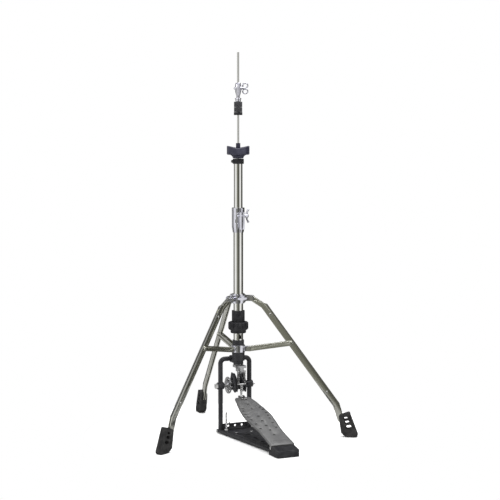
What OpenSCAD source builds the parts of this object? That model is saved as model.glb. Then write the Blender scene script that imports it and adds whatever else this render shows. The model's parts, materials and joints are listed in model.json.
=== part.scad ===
// Hi-hat stand with a chain-drive pedal, a folding tripod and a cymbal clutch.
// Z runs up the column from the floor, the player sits towards -Y and the axle lies along X.

/* [Column] */
// Outer diameter of the lower tube
lower_tube_d = 28.6; // [28:0.1:30]
// Wall of both tubes
tube_wall = 1.25; // [1:0.05:1.4]
// Outer diameter of the upper tube
upper_tube_d = 25.4; // [25:0.1:25.4]
// Diameter of the pull rod
rod_d = 6; // [5.5:0.1:6.2]
// Height of the rod's tip above the floor
rod_top = 1118; // [1090:1:1180]
// Height of the height clamp's top face
clamp_top = 668; // [660:1:690]
// Height of the cymbal seat's rim
seat_rim = 848; // [840:1:860]
// Height of the clutch's wing screw
clutch_z = 1014; // [1005:1:1030]

/* [Tripod] */
// Radius from the column to a leg's upper pivot
leg_pivot_r = 39.6; // [39:0.1:42]
// Height of the legs' upper pivots
leg_pivot_z = 403.5; // [400:0.5:408]
// Radius from the column to the rivet that joins a leg and its brace
rivet_r = 156.8; // [154:0.1:160]
// Height of that rivet
rivet_z = 273; // [270:1:276]
// Radius from the column to a brace's inner pivot
brace_pivot_r = 33; // [32:0.5:34]
// Width of a leg strip
leg_w = 19; // [17:0.5:20]
// Width of a brace strip
brace_w = 14.5; // [12:0.5:16]
// Distance between the two posts of the pedal frame
post_spacing = 93; // [90:1:95]
// Distance from the column back to the frame's posts
frame_back = 25; // [24:0.5:27]
// Diameter of the frame bar
bar_d = 13.8; // [13:0.1:14]

/* [Pedal] */
// Height of the axle
axle_z = 141; // [140:1:143]
// Distance from the column to the heel hinge
hinge_u = 294; // [293:0.5:295]
// Height of the heel hinge
hinge_z = 20; // [19.5:0.25:20.25]
// Distance from the column to the chain
chain_u = 21.5; // [21:0.5:22]
// Height of the toe pin
toe_pin_z = 112; // [111:0.5:113]
// Pitch of the roller chain
chain_pitch = 6.35; // [6:0.05:6.4]
// Largest half width of the footboard
board_half_w = 42; // [40:0.5:44]
// Thickness of the footboard
board_t = 5; // [4:0.5:6]

/* [Hidden] */
$fn = 64;

chrome = "lightgrey";
black = [0.12, 0.12, 0.13];

// Running clearance on a radius, and the gap between bodies that only pass each other
run = 0.05;
gap = 0.4;

// Radii of the column
tube_r = lower_tube_d / 2;
bore_r = tube_r - tube_wall;
upper_r = upper_tube_d / 2;
rod_r = rod_d / 2;
bar_r = bar_d / 2;

// Heights of the pieces stacked on the column
tube_bottom = 222;
casting_top = 243;
casting_step = 218;
casting_bottom = 207;
lower_hub_top = 264;
collar_top = 279;
knob_bottom = 300;
skirt_top = 310;
knob_top = 333;
housing_top = 366;
upper_hub_bottom = 388;
upper_hub_top = 416;
clamp_bottom = 596;
clamp_step = 641;
neck_bottom = 796;
neck_top = 810.5;
bar_z = 220.4;

// Strips of the legs and braces: distances of their faces from the leg's middle plane
leg_in = 1.7;
leg_out = 4.3;
brace_in = 4.8;
brace_out = 7;
slot_half = 4.8;
arm_half = 8.8;
leg_bend = [79.3, 378.6];
leg_knee = [290, 94];
leg_end = [303, 52];
// Compass directions of the three legs
right_az = -33;
rear_az = 87;
left_az = 207;

// Points of the drive
post_x = post_spacing / 2;
base_half = post_x + 9;
base_top = 10;
bracket_top = 26.5;
block_front = 284;
block_step = 303.5;
block_rear = 341;
cross_pin_z = toe_pin_z + 6 * chain_pitch;
yoke_pin_z = cross_pin_z + 6 * chain_pitch;
cam_core_r = 40;
cam_flange_r = 43;
// Angles of the cam's sector, up from straight ahead
sector_low = -22;
sector_high = 70;
// The clutch is turned so that its wing screw points to one side
clutch_az = -24;
rod_split = 674;

// Footboard: top surface line from the heel to the toe
toe_u = 28;
toe_z = 112;
heel_u = 302;
heel_z = 28.5;
board_slope = atan2(toe_z - heel_z, heel_u - toe_u);
board_len = (heel_u - toe_u) / cos(board_slope);

// A straight flat bar with round ends, drawn in the plane
module bar2d(a, b, w) {
    d = b - a;
    translate(a)
        rotate(atan2(d[1], d[0]))
            translate([0, -w / 2])
                square([norm(d), w]);
    translate(a) circle(d = w);
    translate(b) circle(d = w);
}

// A flat bar bent once in its own plane, with the bend a little fuller than the bar
module bent_bar2d(a, bend, b, w) {
    for (bar_step = [[a, bend], [bend, b]]) {
        d = bar_step[1] - bar_step[0];
        translate(bar_step[0])
            rotate(atan2(d[1], d[0]))
                translate([0, -w / 2])
                    square([norm(d), w]);
    }
    translate(a) circle(d = w + 0.4);
    translate(bend) circle(d = w + 0.4);
    translate(b) circle(d = w - 0.4);
}

// Stands a drawing of (radius, height) upright in the direction az, from side0 to side1 of its plane
module upright(az, side0, side1) {
    rotate([0, 0, az])
        translate([0, side1, 0])
            rotate([90, 0, 0])
                linear_extrude(side1 - side0)
                    children();
}

// The same drawing on both sides of the plane
module upright_pair(az, inner, outer) {
    upright(az, inner, outer) children();
    upright(az, -outer, -inner) children();
}

// A ring about the column
module ring(r_out, r_in, z0, z1) {
    translate([0, 0, z0])
        difference() {
            cylinder(r = r_out, h = z1 - z0);
            translate([0, 0, -1]) cylinder(r = r_in, h = z1 - z0 + 2);
        }
}

// A solid turned about an axis along X
module shaft(x0, x1, r) {
    translate([x0, 0, 0])
        rotate([0, 90, 0])
            cylinder(r = r, h = x1 - x0);
}

// Moves its children to distance u in front of the column and height z
module at_uz(u, z) {
    translate([0, -u, z]) children();
}

// Stands a drawing of (distance in front, height) on edge, from x0 to x1
module side_on(x0, x1) {
    translate([x1, 0, 0])
        rotate([90, 0, -90])
            linear_extrude(x1 - x0)
                children();
}

// ---- Column ----

module lower_tube() {
    slot_w = 7;
    slot_h = 14;
    color(chrome)
        difference() {
            ring(tube_r, bore_r, tube_bottom, clamp_step);
            translate([-slot_w / 2, -tube_r - 1, collar_top + 4])
                cube([slot_w, lower_tube_d + 2, slot_h]);
        }
}

module height_clamp() {
    body_r = 18.6;
    foot_r = 15.9;
    ear_t = 7;
    ear_reach = 28;
    slit = 3;
    bolt_z = 645;
    color(chrome)
        difference() {
            union() {
                translate([0, 0, clamp_bottom]) cylinder(r1 = foot_r, r2 = body_r, h = 16);
                translate([0, 0, clamp_bottom + 16]) cylinder(r = body_r, h = clamp_top - clamp_bottom - 16);
                translate([-ear_t - slit / 2, -ear_reach, clamp_bottom + 10])
                    cube([2 * ear_t + slit, ear_reach, clamp_top - clamp_bottom - 22]);
            }
            translate([0, 0, clamp_bottom - 1]) cylinder(r = tube_r, h = clamp_step - clamp_bottom + 1);
            translate([0, 0, clamp_step]) cylinder(r = 14.6, h = 40);
            translate([-slit / 2, -ear_reach - 1, clamp_bottom - 1])
                cube([slit, ear_reach, clamp_top - clamp_bottom + 2]);
            translate([0, -22.5, bolt_z]) shaft(-20, 20, 3 + run);
            // Two short upright recesses beside the seam
            for (side = [-1, 1])
                rotate([0, 0, -129])
                    translate([body_r - 0.8, side * 2.7 - 1.7, 624])
                        cube([3, 3.4, 11]);
            // Turned ring line
            ring(body_r + 1, body_r - 0.6, 654, 655.2);
        }
}

module clamp_bushing() {
    color(black)
        ring(14.6, upper_r + run, clamp_step, clamp_top - 0.5);
}

module clamp_wing_bolt() {
    z = 645;
    y = -22.5;
    color(chrome)
        translate([0, y, z]) {
            shaft(-13, 9, 3);
            shaft(9, 20, 5.5);
            translate([20, 0, 0])
                rotate([0, 90, 0])
                    rotate([0, 0, 90])
                        wing_plate(4, 40, 13);
        }
}

// A flat wing: a boss with two rounded lobes along Y, lying in the XY plane and thick along Z
module wing_plate(t, span, lobe) {
    linear_extrude(t) {
        circle(r = lobe / 2);
        for (side = [-1, 1])
            bar2d([0, 0], [0, side * (span - lobe) / 2], lobe * 0.7);
    }
}

module tension_housing() {
    color(black)
        difference() {
            ring(19, tube_r, knob_top + gap, housing_top);
            for (a = [0:30:359])
                rotate([0, 0, a])
                    translate([19.6, 0, knob_top + 3])
                        cylinder(r = 1.2, h = housing_top - knob_top);
        }
}

module tension_knob() {
    knob_r = 30.5;
    flutes = 14;
    skirt_r = 23;
    color(black)
        difference() {
            union() {
                translate([0, 0, skirt_top]) cylinder(r = knob_r, h = knob_top - skirt_top);
                translate([0, 0, knob_bottom]) cylinder(r = skirt_r, h = skirt_top - knob_bottom);
            }
            translate([0, 0, knob_bottom - 1]) cylinder(r = tube_r + run, h = 40);
            for (i = [0:flutes - 1])
                rotate([0, 0, i * 360 / flutes])
                    translate([knob_r + 2.4, 0, skirt_top - 1])
                        cylinder(r = 4.4, h = knob_top - skirt_top + 2);
        }
}

module stop_collar() {
    color(black)
        difference() {
            ring(17, tube_r, lower_hub_top, collar_top);
            translate([0, 0, (lower_hub_top + collar_top) / 2])
                rotate([90, 0, 20])
                    cylinder(r = 2.4, h = 20);
        }
}

// ---- Seat ----

module upper_tube() {
    color(chrome)
        ring(upper_r, upper_r - tube_wall, 560, neck_top - 4.5);
}

module tube_guide() {
    color(black)
        ring(bore_r - run, upper_r - tube_wall, 552, 560);
}

module seat_neck() {
    color(black)
        difference() {
            union() {
                translate([0, 0, neck_bottom]) cylinder(r = 15.7, h = neck_top - neck_bottom);
                for (a = [-150, -75, 0, 75, 150])
                    rotate([0, 0, a - 90])
                        translate([15.2, 0, neck_bottom])
                            cylinder(r = 1.6, h = neck_top - neck_bottom);
                translate([0, 0, neck_bottom + 7])
                    rotate([0, 90, 156])
                        cylinder(r = 4.5, h = 18);
            }
            translate([0, 0, neck_bottom - 1]) cylinder(r = upper_r, h = neck_top - neck_bottom - 3.5);
            translate([0, 0, neck_bottom]) cylinder(r = rod_r + 0.08, h = 40);
            translate([0, 0, neck_bottom + 7])
                rotate([0, 90, 156])
                    cylinder(r = 2.5, h = 30);
        }
}

module seat_screw() {
    color(chrome)
        translate([0, 0, neck_bottom + 7])
            rotate([0, 90, 156]) {
                translate([0, 0, upper_r]) cylinder(r = 2.5, h = 7);
                translate([0, 0, 18]) cylinder(r = 3.4, h = 3);
            }
}

module seat_cup() {
    rim_r = 33;
    color([0.13, 0.13, 0.17])
        difference() {
            rotate_extrude()
                difference() {
                    polygon([[5.2, neck_top + 2], [15, neck_top + 2], [17, seat_rim - 32], [rim_r - 2, seat_rim - 26],
                        [rim_r, seat_rim - 24], [rim_r, seat_rim - 1], [rim_r - 1, seat_rim],
                        [rim_r - 5, seat_rim], [10, seat_rim - 9], [5.2, seat_rim - 9]]);
                    translate([31.5, seat_rim - 40.5]) circle(r = 14.2);
                }
            translate([0, 0, neck_top]) cylinder(r = 8, h = 12);
            // A notch through the rim on the player's side
            translate([-1.5, -rim_r - 1, seat_rim - 24.5])
                cube([3, 6, 30]);
        }
}

module seat_sleeve() {
    color(black)
        ring(6.4, 5.2, seat_rim - 9, seat_rim + 8);
}

// ---- Pull rod ----

// The rod's free end starts above a turned witness ring
module upper_rod() {
    free_end = 75;
    ring_w = 1.2;
    color(chrome)
        difference() {
            translate([0, 0, rod_split]) cylinder(r = rod_r, h = rod_top - rod_split);
            ring(rod_r + 1, rod_r - 0.2, rod_top - free_end - ring_w, rod_top - free_end);
        }
}

module rod_coupling() {
    color(chrome)
        ring(5, rod_r, rod_split - 12, rod_split + 12);
}

module lower_rod() {
    color(chrome)
        translate([0, 0, 208])
            cylinder(r = rod_r, h = rod_split - 208);
}

module spring_cap() {
    color(chrome)
        ring(10.5, rod_r, 396, 400);
}

module spring_stop() {
    color(black)
        ring(bore_r, rod_r + 0.6, 316, 322);
}

module return_spring() {
    coils = 9;
    wire_r = 0.9;
    coil_r = 8.5;
    z0 = 323.1;
    z1 = 394.9;
    steps = 14;
    sides = 6;
    count = coils * steps;
    ring_at = function (i)
        let (a = i * 360 / steps, z = z0 + (z1 - z0) * i / count)
        [for (k = [0:sides - 1])
            let (b = k * 360 / sides, r = coil_r + wire_r * cos(b))
            [r * cos(a), r * sin(a), z + wire_r * sin(b)]];
    points = [for (i = [0:count]) each ring_at(i)];
    walls = [for (i = [0:count - 1], k = [0:sides - 1])
        let (a = i * sides, b = a + sides, n = (k + 1) % sides)
        [a + k, b + k, b + n, a + n]];
    start = [[for (k = [0:sides - 1]) k]];
    finish = [[for (k = [0:sides - 1]) count * sides + sides - 1 - k]];
    color(chrome)
        polyhedron(points, concat(start, walls, finish), convexity = 10);
}

// ---- Yoke and chain ----

module yoke() {
    plate_half = 14;
    tongue_half = 6.5;
    front = chain_u + 4.5;
    color("silver")
        difference() {
            union() {
                translate([0, 0, 198]) cylinder(r = 10.8, h = 28);
                translate([-plate_half, -front, 198]) cube([2 * plate_half, front + 9, 7]);
                translate([-tongue_half, -front, yoke_pin_z - 2.5]) cube([2 * tongue_half, front + 4, 12.5]);
                at_uz(chain_u, yoke_pin_z) shaft(-tongue_half, tongue_half, 4.5);
            }
            translate([0, 0, 208]) cylinder(r = rod_r, h = 30);
            at_uz(chain_u, yoke_pin_z) shaft(-20, 20, 2.5);
        }
}

module yoke_pin() {
    color(chrome)
        at_uz(chain_u, yoke_pin_z)
            shaft(-13.6, 13.6, 2.5);
}

// One strand of chain as a straight strip whose edge follows the link plates
module strand(z0, links, half_w, side, end_hole) {
    plate_d = 8.2;
    waist = 6.4;
    translate([side + half_w, -chain_u, 0])
        rotate([0, -90, 0])
            linear_extrude(2 * half_w)
                difference() {
                    union() {
                        translate([z0, -waist / 2]) square([links * chain_pitch, waist]);
                        for (i = [0:links])
                            translate([z0 + i * chain_pitch, 0])
                                circle(d = plate_d);
                    }
                    translate([z0 + links * chain_pitch, 0]) circle(r = end_hole);
                    translate([z0, 0]) circle(r = end_hole);
                }
}

module drive_chain() {
    eye_r = 5.6;
    eye_hole = 3.7;
    color("grey") {
        for (side = [-1, 1])
            strand(cross_pin_z, 6, 2.6, side * 9.9, 2.5 + run);
        difference() {
            union() {
                strand(toe_pin_z, 6, 3, 0, 2.5);
                at_uz(chain_u, toe_pin_z) shaft(-3, 3, eye_r);
            }
            at_uz(chain_u, toe_pin_z) shaft(-4, 4, eye_hole);
        }
    }
}

module cross_pin() {
    color(chrome)
        at_uz(chain_u, cross_pin_z)
            shaft(-13.2, 13.2, 2.5);
}

// ---- Axle and cam ----

module axle() {
    head_x = -56.2;
    color(chrome)
        translate([0, frame_back, axle_z]) {
            shaft(head_x, 60, 5);
            translate([head_x, 0, 0]) rotate([0, -90, 0]) cylinder(r = 8, h = 7, $fn = 6);
            shaft(60, 64, 3);
        }
}

// The cam's sector, drawn about the axle as (distance in front, height)
module sector(r) {
    far = 1.5 * r;
    middle = (sector_low + sector_high) / 2;
    intersection() {
        circle(r = r);
        polygon(concat([[0, 0]], [for (a = [sector_low, middle, sector_high]) far * [cos(a), sin(a)]]));
    }
}

module cam_wheel() {
    hub_r = 15;
    hub_half = 14.6;
    tooth_step = 8.5;
    color(black)
        translate([0, frame_back, axle_z])
            difference() {
                union() {
                    shaft(-hub_half, hub_half, hub_r);
                    // Toothed inner flanges
                    for (x = [-12.1, 7.1])
                        side_on(x, x + 5)
                            difference() {
                                sector(cam_core_r);
                                for (a = [sector_low + 3:tooth_step:sector_high])
                                    rotate(a)
                                        translate([cam_core_r + 0.6, 0])
                                            circle(r = 1.9);
                            }
                    // Outer flanges with round windows
                    for (x = [-hub_half - 4, hub_half])
                        side_on(x, x + 4)
                            difference() {
                                union() {
                                    circle(r = hub_r);
                                    sector(cam_flange_r);
                                }
                                for (a = [4, 44])
                                    rotate(a)
                                        translate([30, 0])
                                            circle(r = 5);
                            }
                }
                shaft(-30, 30, 5);
            }
}

module cam_plate() {
    plate_r = 25;
    color("darkgrey")
        translate([-22, frame_back, axle_z])
            difference() {
                union() {
                    shaft(-1.5, 1.5, plate_r);
                    shaft(-6, 3, 8.5);
                }
                shaft(-20, 20, 5);
                for (a = [20:120:359])
                    rotate([a, 0, 0])
                        translate([0, 0, 16.5])
                            shaft(-3, 3, 5.5);
                rotate([80, 0, 0]) translate([0, 0, 28]) shaft(-3, 3, 8);
            }
}

// ---- Pedal frame ----

module frame_casting() {
    lug_half = 15;
    lug_r = 10;
    color(black)
        difference() {
            union() {
                translate([0, 0, casting_step]) cylinder(r = 18.6, h = casting_top - casting_step);
                translate([0, 0, casting_bottom]) cylinder(r = 14.7, h = casting_step - casting_bottom);
                // Lug behind the column that grips the frame bar
                translate([-lug_half, 0, bar_z - lug_r]) cube([2 * lug_half, frame_back, 2 * lug_r]);
                translate([0, frame_back, bar_z]) shaft(-lug_half, lug_half, lug_r);
            }
            translate([0, 0, tube_bottom]) cylinder(r = tube_r, h = 40);
            translate([0, 0, casting_bottom - 1]) cylinder(r = 12, h = 30);
            translate([0, frame_back, bar_z]) shaft(-30, 30, bar_r);
        }
}

// One bar bent into an upside-down U: across behind the column and down both sides
module frame_bars() {
    bend_r = 13.5;
    foot_z = 6;
    straight = post_x - bend_r;
    color(black)
        translate([0, frame_back, 0])
            difference() {
                union() {
                    translate([0, 0, bar_z]) shaft(-straight, straight, bar_r);
                    for (side = [-1, 1]) {
                        translate([side * straight, 0, bar_z - bend_r])
                            rotate([90, 0, 0])
                                rotate([0, 0, side > 0 ? 0 : 90])
                                    rotate_extrude(angle = 90)
                                        translate([bend_r, 0])
                                            circle(r = bar_r);
                        translate([side * post_x, 0, foot_z])
                            cylinder(r = bar_r, h = bar_z - bend_r - foot_z);
                    }
                }
                translate([0, 0, axle_z]) shaft(-70, 70, 5 + run);
            }
}

module bearing_housings() {
    color(black)
        translate([0, frame_back, 0])
            for (side = [-1, 1])
                difference() {
                    translate([side * post_x, 0, axle_z]) shaft(-9, 9, 10.5);
                    translate([side * post_x, 0, axle_z - 20]) cylinder(r = bar_r, h = 40);
                    translate([0, 0, axle_z]) shaft(-70, 70, 5 + run);
                }
}

// Outline of the base plate, seen from above
module base_outline(inset) {
    front = [base_half - inset, frame_back + 10 - inset];
    rear = [24 - inset, -300 + inset];
    polygon([[-front[0], front[1]], [front[0], front[1]], [front[0], 16], [rear[0], -274],
        [rear[0], rear[1]], [-rear[0], rear[1]], [-rear[0], -274], [-front[0], 16]]);
}

module base_plate() {
    sheet = 2.5;
    lip = 3;
    color(black)
        difference() {
            translate([0, 0, lip]) linear_extrude(base_top - lip) base_outline(0);
            linear_extrude(base_top - sheet) base_outline(sheet);
            for (side = [-1, 1])
                translate([side * post_x, frame_back, 0]) cylinder(r = bar_r, h = 30);
            for (y = [-70, -120, -170, -220])
                translate([0, y, 0]) cylinder(r = 6, h = 30);
            for (side = [-1, 1])
                translate([side * 24, -40, 0]) cylinder(r = 3.5, h = 30);
        }
}

module toe_bracket() {
    wall_half = post_x - bar_r - 0.6;
    wall_t = 3;
    wall_y = frame_back - wall_t / 2;
    flange = 11;
    color(black)
        difference() {
            union() {
                translate([-wall_half, wall_y, base_top])
                    cube([2 * wall_half, wall_t, bracket_top - base_top]);
                translate([-wall_half, wall_y - flange, base_top]) cube([2 * wall_half, flange, 2.5]);
                for (x = [-wall_half, wall_half - wall_t])
                    translate([x, wall_y - flange, base_top + 2.5]) cube([wall_t, flange, 10]);
            }
            for (x = [-22, 0, 22])
                translate([x, frame_back + 10, base_top + 9])
                    rotate([90, 0, 0])
                        cylinder(r = 3.5, h = 20);
        }
}

module base_bolts() {
    color(chrome) {
        for (x = [-base_half - 4, base_half])
            translate([x, frame_back, 6.5]) shaft(0, 4, 3.4);
        translate([-18, frame_back, bracket_top]) cylinder(r = 1.5, h = 4.5);
        for (side = [-1, 1])
            translate([side * 24, -40, base_top]) cylinder(r = 5, h = 2.5, $fn = 6);
    }
}

module base_pads() {
    pad_t = 7.5;
    color([0.08, 0.08, 0.08]) {
        translate([-34, -9, 0]) cube([68, 39, pad_t]);
        translate([-18, -270, 0]) cube([36, 20, pad_t]);
    }
}

// Height of the heel block's sloping top
function block_top(u) = 25 - (u - block_step) * 0.187;

module heel_block() {
    half = 34.5;
    corner = 8;
    trough_z = 12;
    rib_half = 29;
    color([0.16, 0.16, 0.17])
        difference() {
            intersection() {
                side_on(-half, half)
                    polygon([[block_front, 0], [block_front, trough_z], [block_step, trough_z],
                        [block_step, block_top(block_step)], [block_rear - 3, block_top(block_rear - 3)],
                        [block_rear, 14], [block_rear, 0]]);
                union() {
                    for (side = [-1, 1])
                        translate([side * (half - corner), -block_rear + corner, 0])
                            cylinder(r = corner, h = 40);
                    translate([-half, -block_rear + corner, 0])
                        cube([2 * half, block_rear - block_front - corner, 40]);
                    translate([-half + corner, -block_rear, 0]) cube([2 * half - 2 * corner, corner + 1, 40]);
                }
            }
            // Pocket that holds the rear end of the base plate
            translate([-24.4, -300.4, -1]) cube([48.8, 30, base_top + 1.2]);
            // Grooves across the top
            for (u = [308:6:332])
                side_on(-rib_half, rib_half)
                    translate([u, block_top(u) - 1.2])
                        square([2.6, 5]);
        }
}

module hinge_bracket() {
    inner = 27;
    t = 4;
    ear_r = 5;
    trough_z = 12;
    color("grey")
        for (x = [-inner - t, inner])
            difference() {
                union() {
                    at_uz(hinge_u, hinge_z) shaft(x, x + t, ear_r);
                    translate([x, -hinge_u - ear_r, trough_z]) cube([t, 2 * ear_r, hinge_z - trough_z]);
                }
                at_uz(hinge_u, hinge_z) shaft(-50, 50, 3);
            }
}

module hinge_pin() {
    color(chrome)
        at_uz(hinge_u, hinge_z) {
            shaft(-32.5, 32.5, 3);
            shaft(-34.3, -31, 4.6);
        }
}

// ---- Footboard ----

// Distance along the board from its toe to a point u in front of the column
function along(u) = (u - toe_u) / cos(board_slope);

module board_outline() {
    w = board_half_w;
    half = [[toe_u, 20], [toe_u + 3, 24], [45, 27], [60, 31], [95, w - 4], [130, w], [145, w], [176, w - 2.5],
        [209, w - 6.5], [238, w - 8], [271, w - 7.5], [heel_u, w - 6]];
    polygon(concat(
        [for (p = half) [p[1], -along(p[0])]],
        [for (i = [len(half) - 1:-1:0]) [-half[i][1], -along(half[i][0])]]));
}

// Lays its children on the board's top surface, with the toe at the origin and the heel towards -Y
module on_board() {
    translate([0, -toe_u, toe_z])
        rotate([board_slope, 0, 0])
            children();
}

module footboard() {
    hole_r = 3.2;
    centre_row = [70, 98, 141, 167.5, 194, 220.5, 247];
    edge_rows = [[92, 27], [106, 31], [124, 33], [140.5, 31.5], [157, 28.8], [182, 26], [209, 24.5]];
    knuckle_half = 26.6;
    notch_half = 5;
    notch_deep = 4.5;
    color([0.55, 0.55, 0.56])
        difference() {
            union() {
                on_board()
                    translate([0, 0, -board_t])
                        linear_extrude(board_t)
                            board_outline();
                at_uz(hinge_u, hinge_z) shaft(-knuckle_half, knuckle_half, 5.4);
                translate([-knuckle_half, -hinge_u - 4.5, hinge_z])
                    cube([2 * knuckle_half, 9, 8]);
            }
            at_uz(hinge_u, hinge_z) shaft(-50, 50, 3 + run);
            on_board() {
                translate([-notch_half, -notch_deep, -20]) cube([2 * notch_half, 40, 40]);
                for (u = centre_row)
                    translate([0, -along(u), -20]) cylinder(r = hole_r, h = 40);
                for (p = edge_rows, side = [-1, 1])
                    translate([side * p[1], -along(p[0]), -20]) cylinder(r = hole_r, h = 40);
            }
        }
}

// Saddle on the toe whose two ears reach forward to the toe pin
module chain_anchor() {
    ear_in = 5.3;
    ear_out = 8.5;
    rear = 16;
    color(chrome)
        difference() {
            union() {
                on_board() {
                    translate([-ear_out, -rear, 0]) cube([2 * ear_out, rear - 2, 2.4]);
                    for (x = [-ear_out, ear_in])
                        translate([x, -rear, 0]) cube([ear_out - ear_in, rear + 6, 3]);
                }
                for (x = [-ear_out, ear_in])
                    at_uz(chain_u, toe_pin_z) shaft(x, x + ear_out - ear_in, 5);
            }
            at_uz(chain_u, toe_pin_z) shaft(-20, 20, 2);
        }
}

module toe_pin() {
    color(chrome)
        at_uz(chain_u, toe_pin_z)
            shaft(-9.4, 9.4, 2);
}

// ---- Clutch ----

module clutch_body() {
    body_r = 8.8;
    color(chrome)
        difference() {
            union() {
                translate([0, 0, clutch_z + 4]) cylinder(r1 = body_r, r2 = 7.4, h = 12);
                translate([0, 0, clutch_z - 8]) cylinder(r = body_r, h = 12);
                translate([0, 0, clutch_z - 20]) cylinder(r1 = 5.5, r2 = body_r, h = 12);
                translate([0, 0, clutch_z])
                    rotate([0, 90, clutch_az])
                        translate([0, 0, -13])
                            cylinder(r1 = 2, r2 = 6, h = 8);
                translate([0, 0, clutch_z])
                    rotate([0, 90, clutch_az])
                        cylinder(r = 5, h = 10.5);
            }
            translate([0, 0, clutch_z - 30]) cylinder(r = rod_r + run, h = 60);
            translate([0, 0, clutch_z])
                rotate([0, 90, clutch_az])
                    cylinder(r = 2.5 + run, h = 30);
            // Flutes around the casting
            for (a = [0:45:359])
                rotate([0, 0, a + 22.5 + clutch_az])
                    translate([body_r + 1.2, 0, clutch_z - 30])
                        cylinder(r = 2.2, h = 60);
        }
}

module clutch_wing() {
    reach = 13.5;
    loop_r = 9.6;
    color(chrome)
        translate([0, 0, clutch_z])
            rotate([0, 0, clutch_az]) {
                translate([rod_r + 0.5, 0, 0]) rotate([0, 90, 0]) cylinder(r = 2.5, h = 10);
                translate([reach - 0.5, 0, 0]) rotate([0, 90, 0]) cylinder(r = 3.4, h = 5);
                rotate([90, 0, 0])
                    translate([0, 0, -1.8])
                        linear_extrude(3.6)
                            difference() {
                                for (side = [-1, 1])
                                    translate([reach + 9.5, side * 10])
                                        circle(r = loop_r);
                                for (side = [-1, 1])
                                    translate([reach + 9.5, side * 10])
                                        circle(r = loop_r - 3.6);
                            }
            }
}

module clutch_stem() {
    color(chrome)
        ring(5.2, rod_r + run, 938, clutch_z - 20);
}

module clutch_collar() {
    color(chrome) {
        ring(9.2, 5.2, 982, 986);
        ring(7.8, 5.2, 976, 981.6);
    }
}

module clutch_felts() {
    color([0.14, 0.14, 0.15]) {
        ring(12, 5.2, 960, 975.6);
        ring(12, 5.2, 946, 959.6);
    }
}

module bottom_nut() {
    color(black)
        difference() {
            ring(12.4, 5.2 + run, 937, 945.6);
            for (a = [0:30:359])
                rotate([0, 0, a])
                    translate([12.9, 0, 930])
                        cylinder(r = 1.1, h = 20);
        }
}

// ---- Tripod ----

module upper_hub() {
    body_r = 21.5;
    arm_h = 16;
    color(chrome)
        difference() {
            union() {
                translate([0, 0, upper_hub_bottom + 3]) cylinder(r = body_r, h = upper_hub_top - upper_hub_bottom - 6);
                translate([0, 0, upper_hub_bottom]) cylinder(r = body_r - 3, h = upper_hub_top - upper_hub_bottom);
                for (az = [right_az, rear_az, left_az])
                    upright(az, -arm_half, arm_half)
                        bar2d([12, leg_pivot_z], [leg_pivot_r, leg_pivot_z], arm_h);
                translate([0, 0, leg_pivot_z])
                    rotate([90, 0, 0])
                        cylinder(r = 7, h = 25);
            }
            translate([0, 0, upper_hub_bottom - 1]) cylinder(r = tube_r + run, h = 60);
            for (az = [right_az, rear_az, left_az]) {
                rotate([0, 0, az])
                    translate([29.6, -slot_half, upper_hub_bottom - 1])
                        cube([40, 2 * slot_half, 40]);
                upright(az, -20, 20)
                    translate([leg_pivot_r, leg_pivot_z])
                        circle(r = 3);
            }
            translate([0, 0, leg_pivot_z])
                rotate([90, 0, 0])
                    cylinder(r = 3 + run, h = 40);
        }
}

module leg_pins() {
    color(chrome)
        for (az = [right_az, rear_az, left_az]) {
            upright(az, -arm_half, arm_half)
                translate([leg_pivot_r, leg_pivot_z])
                    circle(r = 3);
            upright_pair(az, arm_half, arm_half + 2)
                translate([leg_pivot_r, leg_pivot_z])
                    circle(r = 5);
        }
}

module hub_bolt() {
    color(chrome)
        translate([0, 0, leg_pivot_z])
            rotate([90, 0, 0]) {
                translate([0, 0, tube_r + 0.5]) cylinder(r = 3, h = 14);
                translate([0, 0, 25.4])
                    linear_extrude(4) {
                        circle(r = 5.5);
                        bar2d([-11, 0], [11, 0], 6);
                    }
            }
}

module lower_hub() {
    hub_r = 20;
    z0 = casting_top + gap;
    z1 = lower_hub_top - gap;
    mid_z = (z0 + z1) / 2;
    color(chrome)
        difference() {
            union() {
                translate([0, 0, z0]) cylinder(r = hub_r, h = z1 - z0);
                for (az = [right_az, rear_az, left_az])
                    upright(az, -brace_in + 0.4, brace_in - 0.4)
                        bar2d([12, mid_z], [brace_pivot_r, mid_z], 15);
            }
            translate([0, 0, z0 - 1]) cylinder(r = tube_r + run, h = 40);
            for (az = [right_az, rear_az, left_az])
                upright(az, -20, 20)
                    translate([brace_pivot_r, mid_z])
                        circle(r = 2.5);
        }
}

module brace_pins() {
    mid_z = (casting_top + lower_hub_top) / 2;
    color(chrome)
        for (az = [right_az, rear_az, left_az]) {
            upright(az, -brace_out - 0.3, brace_out + 0.3)
                translate([brace_pivot_r, mid_z])
                    circle(r = 2.5);
            upright_pair(az, brace_out + 0.3, brace_out + 2)
                translate([brace_pivot_r, mid_z])
                    circle(r = 4.5);
        }
}

// One leg: two bent strips, held apart by the rivet and two spacers
module leg(az) {
    pivot = [leg_pivot_r, leg_pivot_z];
    color(chrome) {
        difference() {
            upright_pair(az, leg_in, leg_out) {
                bar2d(pivot, leg_bend, 15);
                bent_bar2d(leg_bend, leg_knee, leg_end, leg_w);
            }
            upright(az, -10, 10)
                translate(pivot) circle(r = 3 + run);
        }
        upright(az, -leg_out, leg_out)
            translate([rivet_r, rivet_z]) circle(r = 3);
        for (p = [[95, 357], [262, 131]])
            upright(az, -leg_in, leg_in)
                translate(p) circle(r = 5);
    }
}

// Outline of a rubber foot in its leg's plane
module foot_outline() {
    sole_r = 330;
    polygon([[298, 60], [302, 65], [325, 73], [329, 72], [353, 10], [353.5, 5], [350, 0], [sole_r - 6, 0],
        [313, 5], [305, 13]]);
}

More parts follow.
